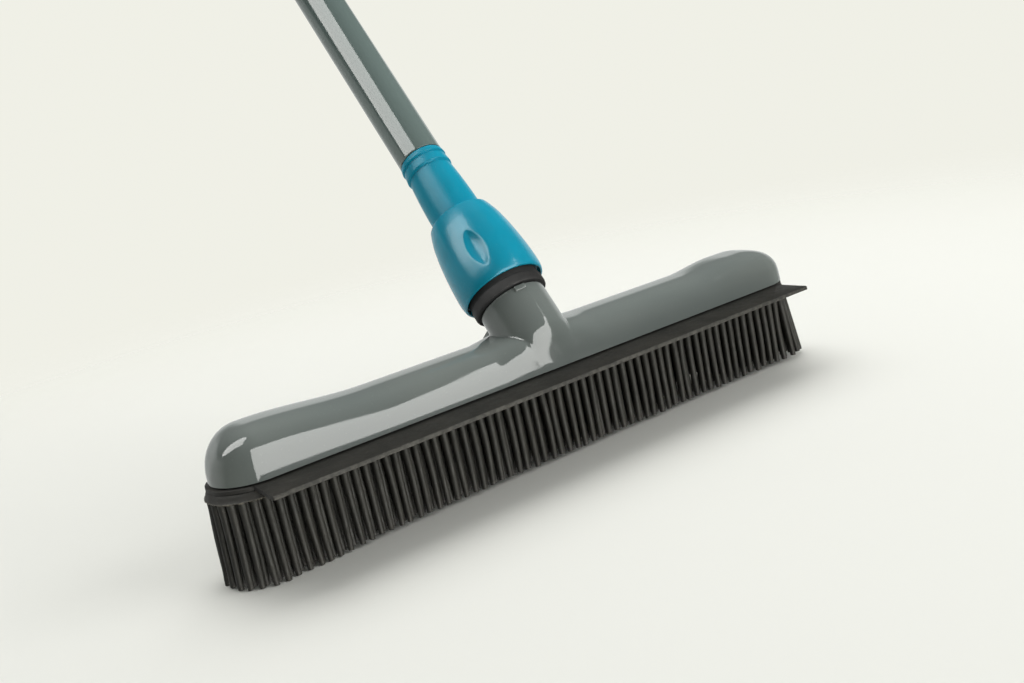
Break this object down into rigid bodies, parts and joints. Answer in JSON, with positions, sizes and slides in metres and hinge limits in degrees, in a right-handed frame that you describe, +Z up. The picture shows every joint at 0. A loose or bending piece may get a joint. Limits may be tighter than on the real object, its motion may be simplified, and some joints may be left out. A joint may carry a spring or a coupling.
{
  "type": "rubber broom",
  "caption": "Floor broom with rubber strands and a squeegee lip under a moulded head, and a telescopic pole in a twist collar.",
  "frame": {"origin": "on the floor, at the flat tip of the strand under the middle of the head", "axes": "+Z up; X along the head; -Y towards the squeegee lip; the pole leans back to +Y"},
  "size_m": [0.3296, 0.6226, 0.7901],
  "materials": {
    "housing_grey": "glossy moulded",
    "plate_black": "plain moulded",
    "screw_zinc": "zinc plated",
    "rubber_black": "matt moulded",
    "bush_black": "satin moulded",
    "teal_plastic": "satin moulded",
    "tube_paint": "satin paint",
    "cam_pale": "plain moulded",
    "grip_rubber": "matt moulded"
  },
  "bodies": {
    "head": {"head_housing": "housing_grey", "base_plate": "plate_black", "plate_screw_1": "screw_zinc", "plate_screw_2": "screw_zinc", "plate_screw_3": "screw_zinc", "plate_screw_4": "screw_zinc", "rubber_sheet": "rubber_black", "strand_block_1": "rubber_black", "strand_block_2": "rubber_black", "strand_block_3": "rubber_black", "strand_block_4": "rubber_black", "strand_block_5": "rubber_black", "socket_bush": "bush_black", "tension_washer": "rubber_black", "pole_adapter": "teal_plastic", "lower_tube": "tube_paint", "guide_bush": "teal_plastic"},
    "collar": {"lock_collar": "teal_plastic"},
    "twist_lock": {"cam_sleeve": "cam_pale"},
    "upper_pole": {"cam_plug": "cam_pale", "upper_tube": "tube_paint", "hand_grip": "grip_rubber", "hanging_cap": "teal_plastic"}
  },
  "joints": [
    {"name": "collar_turn", "type": "hinge", "parent": "head", "child": "collar", "pos_m": [0.0023, 0.0278, 0.09412], "axis": [0, 0.6225, 0.7826], "range_deg": [0, 60]},
    {"name": "pole_extend", "type": "slide", "parent": "head", "child": "twist_lock", "axis": [0, 0.6225, 0.7826], "range_m": [0, 0.42]},
    {"name": "pole_twist_lock", "type": "hinge", "parent": "twist_lock", "child": "upper_pole", "pos_m": [0.0023, 0.11153, 0.19938], "axis": [0, 0.6225, 0.7826], "range_deg": [0, 120]}
  ]
}
